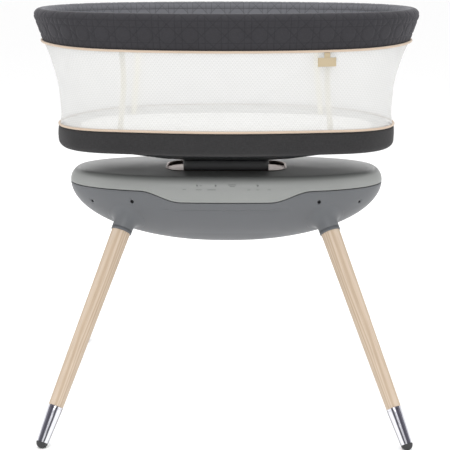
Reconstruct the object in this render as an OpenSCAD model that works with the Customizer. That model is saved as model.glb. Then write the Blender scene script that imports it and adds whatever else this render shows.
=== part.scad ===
// Motorised bassinet on a four-legged stand.
// A mesh-walled basket stands on a short neck, which glides along a slot in the top of the stand's pod.
// Origin on the floor under the middle, +Z up, +X along the basket, front towards -Y. Millimetres.

/* [Basket] */
// Length of the basket over its padded rim
basket_length = 850; // [740:10:1040]
// Width of the basket over its padded rim
basket_width = 540; // [480:10:650]
// How much flatter than a half circle each end is
end_flatness = 30; // [20:5:60]
// Height of the quilted skirt up to the top of the rim
skirt_height = 76; // [60:2:100]
// Height of the mesh wall between the two pipings
mesh_height = 174; // [140:2:220]
// Height of the fabric band round the floor
band_height = 50; // [42:1:66]
// How far the foot of the mesh wall stands inside the rim
wall_lean = 57; // [47:1:69]
// Diameter of the padded rim
rim_roll = 30; // [27:1:36]
// Diameter of the oval rim tube
rim_tube_d = 16; // [13:1:19]
// Diameter of the oval floor tube
floor_tube_d = 14; // [11:1:17]
// Diameter of the four wall posts
post_d = 12; // [10:1:14]
// Thickness of the padded cloth
cloth = 3; // [2:0.5:4]
// Thickness of the mattress
mattress_t = 30; // [20:1:36]
// Thickness of the mattress board
board_t = 6; // [4:1:8]
// Diameter of the piping cords
piping_d = 5; // [4:0.5:6]

/* [Pod] */
// Height of the pod's top above the floor
pod_top = 543; // [450:1:655]
// Length of the pod
pod_length = 710; // [640:10:860]
// Width of the pod
pod_width = 312; // [290:2:380]
// Height of the pod's shoulder, from its widest line to its top
shoulder_h = 28; // [24:1:34]
// Depth of the pod's bowl below its widest line
bowl_depth = 143; // [134:1:172]
// Wall thickness of the pod's two shells
wall = 3; // [2.5:0.5:4]
// Width of the slot that the neck glides in
slot_width = 128; // [106:2:154]
// Radius of the slot's corners
slot_corner = 40; // [32:1:50]
// Thickness of the trim that lines the slot
trim_t = 3; // [2:0.5:4]

/* [Neck and drive] */
// Length of the neck along the slot
neck_length = 192; // [170:2:230]
// Glide of the basket to each side of the middle
glide = 25; // [20:1:30]
// Height of the gap between the pod and the underside of the neck's hub
neck_gap = 22; // [16:1:30]
// Diameter of the two guide rods
rod_d = 12; // [10:1:14]
// Distance from each guide rod to the middle
rod_y = 46; // [45:1:55]
// Outer diameter of the linear bushes
bush_d = 22; // [18:1:26]
// Length of each linear bush
bush_l = 30; // [24:1:36]
// Module of the rack and pinion
gear_module = 2; // [1.5:0.25:2]
// Number of teeth on the pinion
pinion_teeth = 20; // [16:4:20]
// Diameter of the motor
motor_d = 36; // [30:1:40]

/* [Legs] */
// Distance of each foot from the middle, along the basket
foot_x = 384; // [330:2:460]
// Distance of each foot from the middle, across the basket
foot_y = 345; // [290:2:414]
// Diameter of a leg where it leaves its collar
leg_top_d = 42; // [38:1:50]
// Diameter of a leg where the ferrule begins
leg_low_d = 32; // [28:1:36]
// Diameter of a leg's tip
tip_d = 25; // [21:1:27]
// Length of the polished ferrule
ferrule_l = 80; // [60:2:100]
// Diameter of the tenon at the top of a leg
tenon_d = 34; // [28:1:36]
// Length of the tenon and the full-width leg above the collar's mouth
tenon_l = 102; // [90:1:106]
// Thickness of the frame plate
plate_t = 4; // [3:0.5:6]

/* [Hidden] */
$fn = 72;

eps = 0.01;
gap = 0.4;              // clearance between parts that only lie side by side
slip = 0.2;             // radial clearance of a part pushed into a hole
running = 0.05;         // radial clearance of a bush or shaft that moves
seam = 0.05;            // clearance between faces that are bolted or sewn together

// ---- basket outline: four arcs, tangent where they meet
rim_a = basket_length / 2;
rim_b = basket_width / 2;
end_r = rim_b - end_flatness;
end_c = rim_a - end_r;
side_c = (end_c * end_c - end_flatness * end_flatness) / (2 * end_flatness);
side_r = rim_b + side_c;
side_angle = atan(end_c / side_c);

// ---- basket heights, and distances outside the rim's outline (negative is inside it)
hub_h = 9;                                      // hub between the neck and the floor pan
pan_bottom = pod_top + neck_gap;
pan_low = pan_bottom + hub_h;                   // underside of the pan's middle
pan_top = pan_low + 24;                         // underside of the pan's flange
band_top = pan_top + band_height;
mesh_top = band_top + mesh_height;
rim_top = mesh_top + skirt_height;
mesh_t = 1.5;
rim_r = rim_roll / 2;
rim_z = rim_top - rim_r;
skirt_out = -18;                                // foot of the skirt, outside
skirt_in = -wall_lean + 4;                      // foot of the skirt, inside the basket
band_out = -wall_lean + 11;                     // outer face of the band
band_turn = 18;                                 // radius of the band's lower edge
band_lip = 30;                                  // the band reaches this far under the flange
sleeve_wall = 2.5;                              // a tube's joint sleeves are this much thicker than it
sleeve_l = 30;
sleeve_out = sleeve_wall / 2 + pow(sleeve_l / 2, 2) / (2 * (end_r + band_out));   // a sleeve stands out this far
tube_off = band_out - cloth - gap - floor_tube_d / 2 - sleeve_out;
tube_z = band_top - cloth - 7 - floor_tube_d / 2;
post_off = tube_off - (floor_tube_d + sleeve_wall + post_d) / 2 - 1;
socket_d = post_d + 5;
board_edge = post_off - socket_d / 2 - 5;
mattress_edge = board_edge - 4;
flange_z = pan_top + gap;
board_z = flange_z + wall + gap;
mattress_z = board_z + board_t + gap;
post_foot = flange_z + wall + 5;

// ---- posts: straight up, then a bend of radius post_bend, then straight to the rim tube
post_x = 200 / 425 * rim_a;                     // where a post meets the rim tube
post_splay = 6;                                 // degrees that its foot stands further out
post_bend = 150;
bend_z = band_top + 0.4 * mesh_height;
to_tube = [-rim_r - post_off - post_bend, rim_z - bend_z];
bend_angle = 180 - atan2(to_tube[1], to_tube[0]) - acos(post_bend / norm(to_tube));
post_upper = sqrt(pow(norm(to_tube), 2) - post_bend * post_bend) - rim_tube_d / 2 - seam;

// ---- pod
pod_a = pod_length / 2;
pod_b = pod_width / 2;
pod_mid = pod_top - shoulder_h;
pod_power = 2.4;                                // 2 would be an ellipse, more is squarer
pod_sides = 64;
shoulder_in = 24;                               // how far the shoulder curves in
shoulder_end = 85;                              // degrees of the shoulder's curve
split_end = pod_mid - 3;                        // where the shells meet at the pod's ends
split_mid = pod_mid - 27;                       // and in the middle, under the controls
split_near = 96;                                // the dip is level out to here
split_far = 190;                                // and gone from here on

// ---- slot, neck and drive, from the slot cover down
slot_length = neck_length + 2 * (glide + trim_t + 12);
trim_drop = 3;                                  // the trim reaches this far below the top wall
cover_z = pod_top - wall - trim_drop - 1;       // top of the slot cover
cover_t = 2.5;
neck_width = slot_width - 2 * trim_t - 14;
neck_corner = 14;
neck_wall = 3;
core_length = neck_length - 2 * neck_wall - 2 * gap - 20;
core_width = neck_width - 2 * neck_wall - 2 * gap - 8;
core_wall = 4;
neck_bolt_x = core_length / 2 - 14;
neck_bolt_y = core_width / 2 - 16;
neck_bolt_d = 5;
carriage_top = cover_z - cover_t - 13;
carriage_t = 6;
rod_z = carriage_top - carriage_t - bush_d / 2 - 3;
bush_x = 55;
carriage_half = bush_x + bush_l / 2 + 15;
block_l = 16;
rail_x = carriage_half + glide + 5 + block_l / 2;
rod_half = rail_x + block_l / 2 - 2;
plate_top = rod_z - 34;
pitch_r = gear_module * pinion_teeth / 2;
pinion_y = -10;
pinion_z = rod_z - 4;
pinion_t = 10;
rack_t = 12;
rack_back = 12;                                 // from the rack's pitch line to its back
gearbox_d = 37;
gearbox_t = 20;
shaft_d = 6;
shaft_offset = 7;                               // the gearbox's shaft stands off its middle

// ---- legs: one is drawn at the rear right, and mirrored
leg_top = [pod_a - 123, pod_b - 38, pod_mid - 100];   // where the leg's axis leaves the collar
foot_flat = 1.5;                                       // the rubber tip is flat by this much
leg_foot = [foot_x, foot_y, tip_d / 2 - foot_flat];   // centre of the rubber tip's ball
leg_run = leg_top - leg_foot;
leg_l = norm(leg_run);
leg_tilt = acos(leg_run[2] / leg_l);
leg_turn = atan2(leg_run[1], leg_run[0]);
leg_in = 20;                                    // full-width leg inside the collar
collar_wall = 2;
collar_lip = 14;                                // straight part of the collar
collar_l = 60;
socket_wall = 4;
socket_from = 38;                               // the frame's socket begins this far up the leg
plate_x = leg_top[0] - 7;
plate_y = leg_top[1] - 18;

// ---- fasteners of the shells, and what shows through them
leg_bolt_d = 6;
leg_bolt_head = 10;
leg_bolt_z = pod_mid - 28;
bolt_s = (leg_bolt_z - leg_top[2]) / cos(leg_tilt);   // how far up the leg its bolt crosses
bolt_x = leg_top[0] + leg_run[0] / leg_l * bolt_s;
bolt_y = leg_top[1] + leg_run[1] / leg_l * bolt_s;
bolt_end = bowl_y(bolt_x, leg_bolt_z) - 8;
tip_x = pod_a - 58;
tip_z = pod_mid - 36;
tip_y = bowl_y(tip_x, tip_z);
tip_turn = 35;                                  // degrees that the end screws lean outwards
tip_screw_d = 5;
tip_screw_l = 26;
lug_d = 14;
guide_x = [-88, -60, -40, -22, 14, 50, 70, 94];
guide_z = pod_mid + 8;
guide_d = 3;
board_y = -pod_b + 18;
inlet_z = pod_mid - 46;
inlet_d = 12;
inlet_bore = 5.6;
inlet_l = 20;
inlet_depth = 10;
speaker_x = 120;
speaker_d = 56;

// ---------------------------------------------------------------- helpers

function degrees(radians) = radians * 180 / PI;

function sgn_pow(v, p) = sign(v) * pow(abs(v), p);

// Points of a level ring of the pod's outline
function pod_ring(a, b, z) = [
    for (i = [0 : pod_sides - 1])
        let (t = 360 * i / pod_sides)
        [a * sgn_pow(cos(t), 2 / pod_power), b * sgn_pow(sin(t), 2 / pod_power), z]
];

// Half the pod's width at a distance x from the middle, at a level whose half sizes are a and b
function ring_y(a, b, x) = b * pow(1 - pow(abs(x) / a, pod_power), 1 / pod_power);

// Distance of the bowl's outer face from the middle, at x and height z
function bowl_y(x, z) = let (s = sqrt(1 - pow((pod_mid - z) / bowl_depth, 2))) ring_y(pod_a * s, pod_b * s, x);

// Half sizes of the shoulder shrink by this much at a height above the widest line
function shoulder_step(up) = shoulder_in * (1 - sqrt(1 - pow(up / shoulder_h * sin(shoulder_end), 2)));

function arc(cx, cy, r, from, to, n) = [
    for (i = [0 : n]) let (t = from + (to - from) * i / n) [cx + r * cos(t), cy + r * sin(t)]
];

// Faces of a closed loft through m rings of n points
function loft_faces(m, n) = concat(
    [[for (i = [0 : n - 1]) i]],
    [for (k = [0 : m - 2]) for (i = [0 : n - 1])
        let (j = (i + 1) % n)
        each [[k * n + i, (k + 1) * n + i, (k + 1) * n + j], [k * n + i, (k + 1) * n + j, k * n + j]]],
    [[for (i = [n - 1 : -1 : 0]) (m - 1) * n + i]]
);

// The pod's outside, or its inside when inset is the wall
module pod_body(inset = 0) {
    bowl = [for (u = [8, 20, 32, 44, 56, 68, 79, 90])
        [(pod_a - inset) * sin(u), (pod_b - inset) * sin(u), pod_mid - (bowl_depth - inset) * cos(u)]];
    shoulder = [for (u = [25 : 20 : shoulder_end])
        let (in = inset + shoulder_in * (1 - cos(u)))
        [pod_a - in, pod_b - in, pod_mid + (shoulder_h - inset) * sin(u) / sin(shoulder_end)]];
    levels = concat(bowl, shoulder);
    polyhedron([for (l = levels) each pod_ring(l[0], l[1], l[2])], loft_faces(len(levels), pod_sides), convexity = 6);
}

// Everything above the line where the shells meet; the line dips under the controls in a smooth S
module above_split(shift = 0) {
    far = pod_a + 20;
    steps = 10;
    s_curve = [for (i = [0 : steps])
        let (t = i / steps)
        [split_near + (split_far - split_near) * t,
         split_mid + (split_end - split_mid) * (1 - cos(180 * t)) / 2 + shift]];
    right = concat(s_curve, [[far, split_end + shift], [far, pod_top + 40]]);
    left = [for (i = [len(right) - 1 : -1 : 0]) [-right[i][0], right[i][1]]];
    rotate([90, 0, 0]) linear_extrude(pod_width + 40, center = true) polygon(concat(right, left));
}

// Rounded rectangle from four circles and two bars
module round_rect(x, y, r) {
    square([x - 2 * r, y], center = true);
    square([x, y - 2 * r], center = true);
    for (sx = [-1, 1], sy = [-1, 1])
        translate([sx * (x / 2 - r), sy * (y / 2 - r)]) circle(r);
}

// Sweeps a profile round the basket in four lengths that meet end to end, one on each arc.
// In the profile, x is the distance outside the rim's outline and y is the height.
module oval_sweep() {
    end_sweep = 180 - 2 * side_angle - degrees(seam / end_r);
    side_sweep = 2 * side_angle - degrees(seam / side_r);
    for (turn = [0, 180]) rotate(turn) {
        translate([end_c, 0, 0]) rotate(-end_sweep / 2)
            rotate_extrude(angle = end_sweep) translate([end_r, 0]) children();
        translate([0, -side_c, 0]) rotate(90 - side_sweep / 2)
            rotate_extrude(angle = side_sweep) translate([side_r, 0]) children();
    }
}

// Sleeves over the four joints of a swept tube
module joint_sleeves(off, z, d, l) {
    corners() translate([end_c, 0, z]) rotate(90 - side_angle) translate([end_r + off, 0, 0])
        rotate([90, 0, 0]) cylinder(h = l, d = d, center = true);
}

module oval_tube(off, z, d) {
    oval_sweep() translate([off, z]) circle(d / 2);
    joint_sleeves(off, z, d + sleeve_wall, sleeve_l);
}

// A flat plate with the basket's outline moved outwards by off
module oval_plate(off, z, h) {
    right = arc(end_c, 0, end_r + off, side_angle - 90, 90 - side_angle, 24);
    rear = arc(0, -side_c, side_r + off, 90 - side_angle, 90 + side_angle, 24);
    half = concat(right, [for (i = [1 : len(rear) - 2]) rear[i]]);
    translate([0, 0, z]) linear_extrude(h) polygon(concat(half, -half));
}

// Puts children on the rear wall: +X points out of the basket, +Z up, x is where along the wall
module at_wall(x, off) {
    translate([0, -side_c, 0]) rotate(90 - asin(x / (side_r + off))) translate([side_r + off, 0, 0]) children();
}

// Moves children from the rear right corner to any corner; side is -1 for left, end is -1 for front
module corner(side, end) {
    mirror([side < 0 ? 1 : 0, 0, 0]) mirror([0, end < 0 ? 1 : 0, 0]) children();
}

module corners() {
    for (side = [-1, 1], end = [-1, 1]) corner(side, end) children();
}

// Places children with +Z up the leg's axis and the origin where the leg leaves its collar
module on_leg() {
    translate(leg_top) rotate([0, leg_tilt, leg_turn]) children();
}

// A cylinder towards the rear, from one distance to another
module rearwards(x, z, d, from, to) {
    translate([x, from, z]) rotate([-90, 0, 0]) cylinder(h = to - from, d = d);
}

module at_tip_screw() {
    translate([tip_x, tip_y, tip_z]) rotate([-90, 0, -tip_turn]) children();
}

// ---------------------------------------------------------------- stand: shells

module collar() {
    mouth = leg_top_d + 2 * collar_wall + 2 * slip;
    on_leg() {
        cylinder(h = collar_lip, d = mouth);
        translate([0, 0, collar_lip]) cylinder(h = collar_l - collar_lip, d1 = mouth, d2 = mouth + 20);
    }
}

module upper_shell() color("gray") difference() {
    intersection() {
        pod_body();
        union() {
            difference() {
                above_split();
                pod_body(wall);
            }
            corners() translate([tip_x - 12, tip_y - 16, tip_z - 9]) cylinder(h = pod_top - tip_z, d = lug_d);
        }
    }
    translate([0, 0, pod_mid]) linear_extrude(2 * shoulder_h) round_rect(slot_length, slot_width, slot_corner);
    for (x = guide_x)
        translate([x, -pod_b - 5, guide_z]) rotate([-90, 0, 0]) cylinder(h = 30, d = guide_d + 2 * slip);
    corners() at_tip_screw() translate([0, 0, -tip_screw_l - 8]) cylinder(h = tip_screw_l, d = tip_screw_d);
}

module lower_shell() color("slategray") difference() {
    union() {
        pod_body();
        corners() collar();
    }
    pod_body(wall);
    above_split(-seam);
    corners() {
        on_leg() translate([0, 0, -5]) cylinder(h = tenon_l, d = leg_top_d + 2 * slip);
        rearwards(bolt_x, leg_bolt_z, leg_bolt_head + 1, bolt_y, pod_b + 20);
        at_tip_screw() translate([0, 0, -25]) cylinder(h = 60, d = tip_screw_d + 4);
    }
    rearwards(0, inlet_z, inlet_d + 2 * slip, pod_b - 40, pod_b + 20);
    for (i = [0 : 6])
        translate([speaker_x, 0, pod_mid - bowl_depth])
            rotate(60 * i) translate([i == 6 ? 0 : 14, 0, -10]) cylinder(h = 60, d = 5);
}

module slot_trim() color("dimgray")
    translate([0, 0, pod_top - wall - trim_drop])
        linear_extrude(wall + trim_drop + 0.6) difference() {
            round_rect(slot_length - 2 * seam, slot_width - 2 * seam, slot_corner - seam);
            round_rect(slot_length - 2 * trim_t, slot_width - 2 * trim_t, slot_corner - trim_t);
        }

// ---------------------------------------------------------------- stand: frame and drive

module base_frame() color("gainsboro") difference() {
    union() {
        translate([-plate_x, -plate_y, plate_top - plate_t]) cube([2 * plate_x, 2 * plate_y, plate_t]);
        corners() on_leg() translate([0, 0, socket_from]) rotate(90)
            cylinder(h = tenon_l - socket_from + 4, d = tenon_d + 2 * socket_wall);
    }
    corners() {
        on_leg() translate([0, 0, socket_from - 30]) cylinder(h = tenon_l - socket_from + 30, d = tenon_d + 2 * slip);
        rearwards(bolt_x, leg_bolt_z, leg_bolt_d + 2 * slip, bolt_y, pod_b);
    }
    translate([0, pinion_y + shaft_offset, plate_top - 20]) cylinder(h = 40, d = motor_d + 2);
}

module rail_block(side) color("darkgray") difference() {
    foot_h = 8;
    column = rod_d + 12;
    translate([side * rail_x - block_l / 2, 0, plate_top + seam]) {
        translate([0, -rod_y - column / 2, 0]) cube([block_l, 2 * rod_y + column, foot_h]);
        for (y = [-rod_y, rod_y])
            translate([0, y - column / 2, 0]) cube([block_l, column, rod_z - plate_top + column / 2]);
    }
    guide_axes() cylinder(h = 2 * rod_half + 20, d = rod_d + 2 * running, center = true);
}

// Children along both guide rods
module guide_axes() {
    for (y = [-rod_y, rod_y]) translate([0, y, rod_z]) rotate([0, 90, 0]) children();
}

module guide_rods() color("silver") guide_axes() cylinder(h = 2 * rod_half, d = rod_d, center = true);

module gearbox() color("goldenrod")
    translate([0, pinion_y + shaft_offset, plate_top + seam]) difference() {
        flange = motor_d + 10;
        union() {
            translate([-flange / 2, -flange / 2, 0]) cube([flange, flange, 3]);
            cylinder(h = gearbox_t, d = gearbox_d);
        }
        translate([0, -shaft_offset, -1]) cylinder(h = gearbox_t + 2, d = shaft_d + 2 * running);
    }

module motor() color("dimgray")
    translate([0, pinion_y + shaft_offset, plate_top - 52]) cylinder(h = 52, d = motor_d);

module control_board() color("seagreen")
    translate([guide_x[0] - 10, board_y, guide_z - 28]) cube([guide_x[7] - guide_x[0] + 20, 1.6, 34]);

module light_guides() color("ivory")
    for (x = guide_x)
        translate([x, board_y - seam, guide_z]) rotate([90, 0, 0]) {
            face = ring_y(pod_a, pod_b, x) - shoulder_step(guide_z - pod_mid);
            cylinder(h = face + board_y - seam + 0.5, d = guide_d);
        }

module speaker() color("black")
    translate([speaker_x, 0, plate_top - plate_t - 24]) {
        cylinder(h = 8, d1 = speaker_d, d2 = 36);
        translate([0, 0, 8 - eps]) cylinder(h = 16 - seam + eps, d = 30);
    }

module power_inlet() color("black") {
    mouth = bowl_y(0, inlet_z) + 0.5;
    difference() {
        rearwards(0, inlet_z, inlet_d, mouth - inlet_l, mouth);
        rearwards(0, inlet_z, inlet_bore, mouth - inlet_depth, mouth + 1);
    }
}

// Involute teeth; each is thinned for backlash
backlash = 0.3;
pressure = 20;
base_r = pitch_r * cos(pressure);
tip_r = pitch_r + gear_module * 0.9;
root_r = pitch_r - gear_module * 1.25;
function involute(r) = let (k = acos(min(1, base_r / r))) tan(k) * 180 / PI - k;
function tooth_half(r) = 90 / pinion_teeth - (backlash / 2 / pitch_r) * 180 / PI
    + involute(pitch_r) - involute(max(r, base_r));
function gear_outline() = [
    for (i = [0 : pinion_teeth - 1])
        let (mid = 360 * i / pinion_teeth,
             rs = [for (k = [0 : 4]) max(base_r, root_r) + (tip_r - max(base_r, root_r)) * k / 4],
             up = [for (r = rs) [r, mid - tooth_half(r)]],
             down = [for (k = [4 : -1 : 0]) [rs[k], mid + tooth_half(rs[k])]])
        each [for (p = concat([[root_r, up[0][1] - 0.5]], up, down, [[root_r, down[4][1] + 0.5]]))
            [p[0] * cos(p[1]), p[0] * sin(p[1])]]
];

module pinion() color("gold") {
    translate([0, pinion_y, pinion_z - pinion_t / 2]) linear_extrude(pinion_t) polygon(gear_outline());
    translate([0, pinion_y, plate_top + 4]) cylinder(h = pinion_z - plate_top - 4, d = shaft_d);
}

module rack() color("gold") {
    pitch = PI * gear_module;
    teeth = ceil((glide + 12) / pitch);
    root = gear_module * 1.25;
    tip = gear_module * 0.9;
    half = pitch / 4 - backlash / 4;
    line_y = pinion_y + pitch_r;
    stem_x = 30;
    profile = [for (i = [-teeth : teeth - 1])
        let (c = (i + 0.5) * pitch)
        each [[c - half - root * tan(pressure), line_y + root], [c - half + tip * tan(pressure), line_y - tip],
              [c + half - tip * tan(pressure), line_y - tip], [c + half + root * tan(pressure), line_y + root]]];
    end_x = teeth * pitch;
    translate([0, 0, pinion_z - rack_t / 2]) linear_extrude(rack_t)
        polygon(concat([[-end_x, line_y + root]], profile,
                       [[end_x, line_y + root], [end_x, line_y + rack_back], [-end_x, line_y + rack_back]]));
    translate([-stem_x, line_y + root + 1, pinion_z])
        cube([2 * stem_x, rack_back - root - 1, carriage_top - carriage_t - seam - pinion_z]);
}

// ---------------------------------------------------------------- glider: carriage and neck

module carriage() color("lightsteelblue") difference() {
    block_y = bush_d + 6;
    block_z = carriage_top - carriage_t - rod_z + bush_d / 2 + 3;
    union() {
        translate([-carriage_half, -rod_y - block_y / 2, carriage_top - carriage_t])
            cube([2 * carriage_half, 2 * rod_y + block_y, carriage_t]);
        for (x = [-bush_x, bush_x], y = [-rod_y, rod_y])
            translate([x - bush_l / 2, y - block_y / 2, rod_z - bush_d / 2 - 3]) cube([bush_l, block_y, block_z + eps]);
    }
    guide_axes() cylinder(h = 3 * carriage_half, d = bush_d, center = true);
}

module linear_bushes() color("white")
    for (x = [-bush_x, bush_x]) translate([x, 0, 0]) guide_axes() difference() {
        cylinder(h = bush_l, d = bush_d, center = true);
        cylinder(h = bush_l + 2, d = rod_d + 2 * running, center = true);
    }

module slot_cover() color("rosybrown")
    translate([0, 0, cover_z - cover_t]) linear_extrude(cover_t) difference() {
        round_rect(slot_length + 2 * glide + 16, slot_width + 12, slot_corner);
        square([core_length + 2 * seam, core_width + 2 * seam], center = true);
    }

// Children at the four screws that hold the basket on the neck
module neck_bolts() {
    for (x = [-neck_bolt_x, neck_bolt_x], y = [-neck_bolt_y, neck_bolt_y]) translate([x, y, 0]) children();
}

module neck_core() color("lightgray") difference() {
    core_h = pan_bottom - carriage_top - 2 * seam;
    translate([0, 0, carriage_top + seam]) difference() {
        translate([-core_length / 2, -core_width / 2, 0]) cube([core_length, core_width, core_h]);
        translate([-core_length / 2 + core_wall, -core_width / 2 + core_wall, -1])
            cube([core_length - 2 * core_wall, core_width - 2 * core_wall, core_h - core_wall + 1]);
    }
    neck_bolts() translate([0, 0, pan_bottom - 15]) cylinder(h = 20, d = neck_bolt_d);
}

module neck_cover() color("darkslategray")
    translate([0, 0, cover_z + seam]) linear_extrude(pan_bottom - cover_z - 2 * seam) difference() {
        round_rect(neck_length, neck_width, neck_corner);
        round_rect(neck_length - 2 * neck_wall, neck_width - 2 * neck_wall, neck_corner - neck_wall);
    }

// ---------------------------------------------------------------- basket

// The level plate under the middle of the pan, at a height, and smaller by inset
module hub_plate(z, inset = 0)
    translate([0, 0, z]) linear_extrude(1)
        round_rect(neck_length + 108 - 2 * inset, neck_width + 92 - 2 * inset, 30 - inset, $fn = 32);

module floor_pan() color("dimgray") difference() {
    flange_out = band_out - band_turn;
    dish_out = board_edge + 4;
    union() {
        oval_plate(flange_out, flange_z, wall);
        hull() {
            oval_plate(dish_out, flange_z, 1);
            hub_plate(pan_low);
        }
        hull() {
            hub_plate(pan_low + 1);
            translate([0, 0, pan_bottom]) linear_extrude(1) round_rect(neck_length + 16, neck_width + 22, 20, $fn = 32);
        }
    }
    hull() {
        oval_plate(dish_out - wall, flange_z + wall, 5);
        hub_plate(pan_low + wall, wall);
    }
    neck_bolts() translate([0, 0, pan_bottom - 5]) cylinder(h = 30, d = neck_bolt_d + 2 * slip);
}

module neck_screws() color("silver") neck_bolts() {
    translate([0, 0, pan_low + wall + seam]) cylinder(h = 3, d = 9);
    translate([0, 0, pan_bottom - core_wall]) cylinder(h = core_wall + hub_h + wall + 1, d = neck_bolt_d);
}

module floor_tube() color("silver") oval_tube(tube_off, tube_z, floor_tube_d);

module mattress_board() color("burlywood") oval_plate(board_edge, board_z, board_t);

module mattress() color("white") oval_plate(mattress_edge, mattress_z, mattress_t);

module rim_tube() color("silver") oval_tube(-rim_r, rim_z, rim_tube_d);

cover_steps = 16;                               // the cover's roll is drawn in this many flats
module rim_foam() color("lightyellow") difference() {
    oval_sweep() difference() {
        translate([-rim_r, rim_z]) circle((rim_r - cloth) * cos(100 / cover_steps) - seam);
        translate([-rim_r, rim_z]) circle(rim_tube_d / 2 + seam);
    }
    joint_sleeves(-rim_r, rim_z, rim_tube_d + sleeve_wall + 2 * seam, sleeve_l + 2 * seam);
    corners() on_post_top() cylinder(h = post_upper, d = post_d + 2 * gap);
}

module rim_cover() color("darkslategray")
    oval_sweep() polygon(concat(
        [[skirt_out, mesh_top]],
        arc(-rim_r, rim_z, rim_r, -10, 190, cover_steps),
        [[skirt_in, mesh_top], [skirt_in + cloth, mesh_top]],
        arc(-rim_r, rim_z, rim_r - cloth, 190, -10, cover_steps),
        [[skirt_out - cloth, mesh_top]]));

// The mesh wall curves out towards its top
function wall_off(z) = -wall_lean + (wall_lean + skirt_out) * pow(max(0, (z - band_top) / mesh_height), 3.2);

module mesh_wall() color("whitesmoke") {
    steps = 10;
    zs = [for (i = [0 : steps]) band_top + seam + (mesh_height - 2 * seam) * i / steps];
    oval_sweep() polygon(concat(
        [for (z = zs) [wall_off(z), z]],
        [for (i = [steps : -1 : 0]) [wall_off(zs[i]) - mesh_t, zs[i]]]));
}

module piping_upper() color("tan")
    oval_sweep() translate([skirt_out + piping_d / 2 + seam, mesh_top - 1]) circle(piping_d / 2);

module piping_lower() color("tan")
    oval_sweep() translate([band_out - 4, band_top + piping_d / 2 + seam]) circle(piping_d / 2);

module lower_band() color("darkslategray") {
    turn_x = band_out - band_turn;
    turn_z = pan_top - cloth + band_turn;
    lip_in = -wall_lean - 3;
    oval_sweep() polygon(concat(
        [[lip_in, band_top], [band_out - 2, band_top], [band_out, band_top - 2]],
        arc(turn_x, turn_z, band_turn, 0, -90, 8),
        [[band_out - band_lip, pan_top - cloth], [band_out - band_lip, pan_top]],
        arc(turn_x, turn_z, band_turn - cloth, -90, 0, 8),
        [[band_out - cloth, band_top - cloth], [lip_in, band_top - cloth]]));
}

// Places children at the rear right post, in its own plane: +X out of the basket, z as height
module on_post() {
    at_wall(post_x, post_off) translate([0, 0, rim_z]) rotate([-post_splay, 0, 0]) translate([0, 0, -rim_z]) children();
}

// The same, where the bend ends and the last straight length begins, +Z along it
module on_post_top() {
    on_post() translate(bend_point(bend_angle)) rotate([0, bend_angle, 0]) children();
}

function bend_point(a) = [post_bend * (1 - cos(a)), 0, bend_z + post_bend * sin(a)];

// A ring of the post round a point, leaning out by an angle
function post_ring(at, lean) = [
    for (i = [0 : post_sides - 1])
        let (t = 360 * i / post_sides)
        at + post_d / 2 * [cos(t) * cos(lean), sin(t), -cos(t) * sin(lean)]
];

post_sides = 16;
module post() color("ivory") on_post() {
    steps = 5;
    top = bend_point(bend_angle) + post_upper * [sin(bend_angle), 0, cos(bend_angle)];
    bend = [for (i = [0 : steps]) let (a = bend_angle * i / steps) each post_ring(bend_point(a), a)];
    polyhedron(concat(post_ring([0, 0, post_foot], 0), bend, post_ring(top, bend_angle)), loft_faces(steps + 3, post_sides));
}

module post_sockets() color("gray") {
    socket_foot = flange_z + wall + seam + 0.5;
    socket_top = tube_z - (floor_tube_d + sleeve_wall) / 2 - 1;
    corners() on_post() difference() {
        translate([0, 0, socket_foot]) cylinder(h = socket_top - socket_foot, d = socket_d);
        translate([0, 0, post_foot - 0.1]) cylinder(h = 40, d = post_d + 2 * slip);
    }
}

label_x = 209;
module label_loop() color("tan") mirror([0, 1, 0])
    at_wall(label_x, skirt_out + 2) translate([0, -6, mesh_top - 14]) cube([1.6, 12, 10]);

module label() color("wheat") mirror([0, 1, 0])
    at_wall(label_x, skirt_out + 2) translate([0, -19, mesh_top - 14 - seam - 18]) cube([1.6, 38, 18]);

// ---------------------------------------------------------------- legs

module leg() color("burlywood") difference() {
    on_leg() {
        wood_l = leg_l - ferrule_l;
        translate([0, 0, -wood_l + seam]) cylinder(h = wood_l - seam, d1 = leg_low_d, d2 = leg_top_d);
        translate([0, 0, -eps]) cylinder(h = leg_in, d = leg_top_d);
        cylinder(h = tenon_l - 2, d = tenon_d);
    }
    rearwards(bolt_x, leg_bolt_z, leg_bolt_d, bolt_y - 8, pod_b);
}

module ferrule() color("silver") on_leg()
    translate([0, 0, -leg_l]) cylinder(h = ferrule_l, d1 = tip_d, d2 = leg_low_d);

module foot() color("black") difference() {
    on_leg() intersection() {
        translate([0, 0, -leg_l]) sphere(d = tip_d);
        translate([-tip_d, -tip_d, -leg_l - 2 * tip_d]) cube([2 * tip_d, 2 * tip_d, 2 * tip_d - seam]);
    }
    translate([0, 0, -50]) linear_extrude(50) square(4 * foot_x, center = true);
}

module leg_bolts() color("dimgray") corners() {
    rearwards(bolt_x, leg_bolt_z, leg_bolt_d, bolt_y - 8, bolt_end);
    rearwards(bolt_x, leg_bolt_z, leg_bolt_head, bolt_end - 5, bolt_end);
}

module shell_screws() color("dimgray") corners() at_tip_screw() {
    translate([0, 0, -tip_screw_l - 8]) cylinder(h = tip_screw_l, d = tip_screw_d);
    translate([0, 0, -12]) cylinder(h = 4, d = tip_screw_d + 3);
}

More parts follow.
